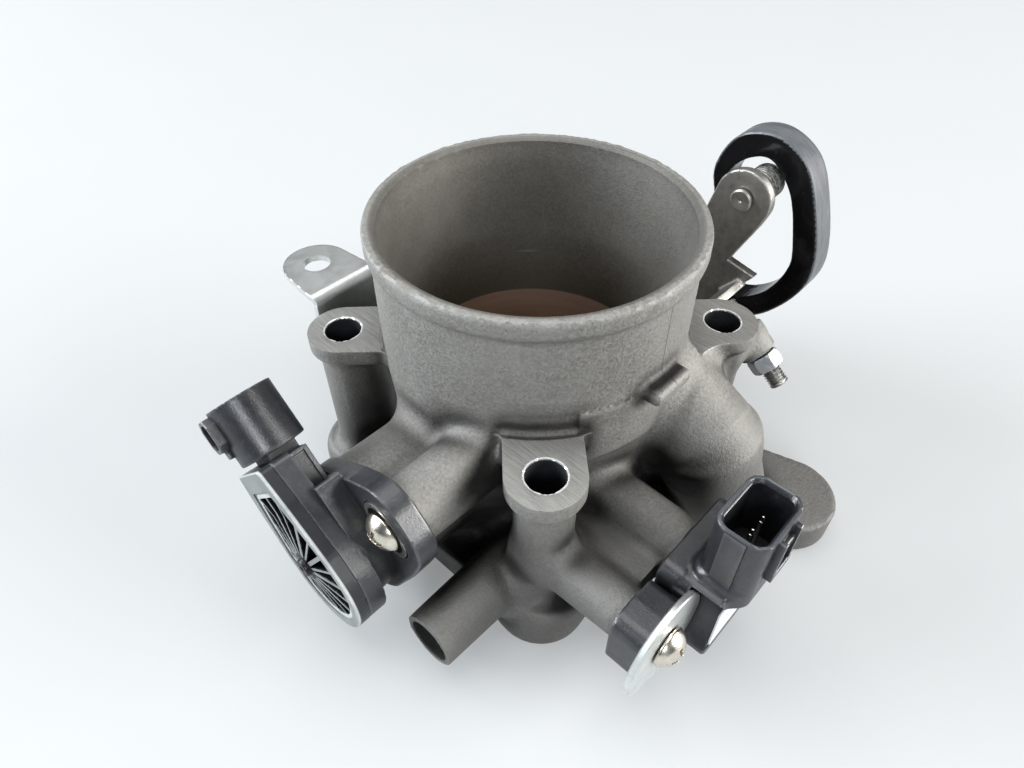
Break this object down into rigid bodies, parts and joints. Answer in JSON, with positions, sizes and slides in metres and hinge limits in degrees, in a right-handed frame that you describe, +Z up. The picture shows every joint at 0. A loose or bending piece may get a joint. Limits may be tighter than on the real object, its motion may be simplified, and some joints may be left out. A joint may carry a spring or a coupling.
{
  "type": "throttle body",
  "caption": "Cable-operated throttle body: cast collar and square flange, butterfly plate on a sprung shaft, lever with plastic ring, and position and pressure sensors.",
  "frame": {"origin": "centre of the footprint on the manifold face; the bore axis stands at x -2.85 mm, y +5.70 mm", "axes": "+Z up along the bore towards the intake hose; +X along the throttle shaft towards the lever; -Y towards the pressure sensor"},
  "size_m": [0.1512, 0.1386, 0.0813],
  "materials": {
    "cast_aluminium": "matte as-cast, fine grain",
    "black_plastic": "semi-gloss moulded",
    "ring_plastic": "gloss moulded",
    "worn_steel": "worn, lightly stained",
    "zinc_plate": "zinc plated",
    "nickel": "bright",
    "brass": "machined",
    "rubber": "matte",
    "tin": "tinned",
    "label": "blank white film"
  },
  "bodies": {
    "body": {"throttle_housing": "cast_aluminium", "passage_plug": "zinc_plate", "shaft_bush_left": "brass", "shaft_bush_right": "brass", "shaft_seal_left": "rubber", "shaft_seal_right": "rubber", "tps_housing": "black_plastic", "tps_terminal_1": "tin", "tps_terminal_2": "tin", "tps_terminal_3": "tin", "tps_back_cover": "black_plastic", "tps_sleeve_1": "tin", "tps_sleeve_2": "tin", "tps_screw_1": "nickel", "tps_screw_2": "nickel", "tps_seal": "rubber", "map_sensor_housing": "black_plastic", "map_sensor_label": "label", "map_terminal_1": "tin", "map_terminal_2": "tin", "map_terminal_3": "tin", "map_port_seal": "rubber", "map_washer": "zinc_plate", "map_screw": "nickel", "spring_guide": "black_plastic", "return_spring": "worn_steel", "idle_stop_screw": "nickel", "idle_stop_nut": "zinc_plate", "rear_bracket": "zinc_plate", "bracket_screw_1": "nickel", "bracket_screw_2": "nickel"},
    "throttle": {"throttle_shaft": "worn_steel", "throttle_plate": "brass", "plate_screw_1": "worn_steel", "plate_screw_2": "worn_steel", "throttle_lever": "worn_steel", "roller_pin": "worn_steel", "cable_ring": "ring_plastic", "lever_spacer": "worn_steel", "shaft_washer": "zinc_plate", "shaft_nut": "zinc_plate", "tps_rotor": "brass"},
    "roller": {"roller": "worn_steel"}
  },
  "joints": [
    {"name": "throttle_hinge", "type": "hinge", "parent": "body", "child": "throttle", "pos_m": [-0.00285, 0.0057, 0.02615], "axis": [1, 0, 0], "range_deg": [-80, 0], "stiffness_Nm_per_rad": 0.3, "springref_deg": 34.38},
    {"name": "roller_spin", "type": "hinge", "parent": "throttle", "child": "roller", "pos_m": [0.05915, -0.0144, 0.0675], "axis": [1, 0, 0], "continuous": true}
  ]
}
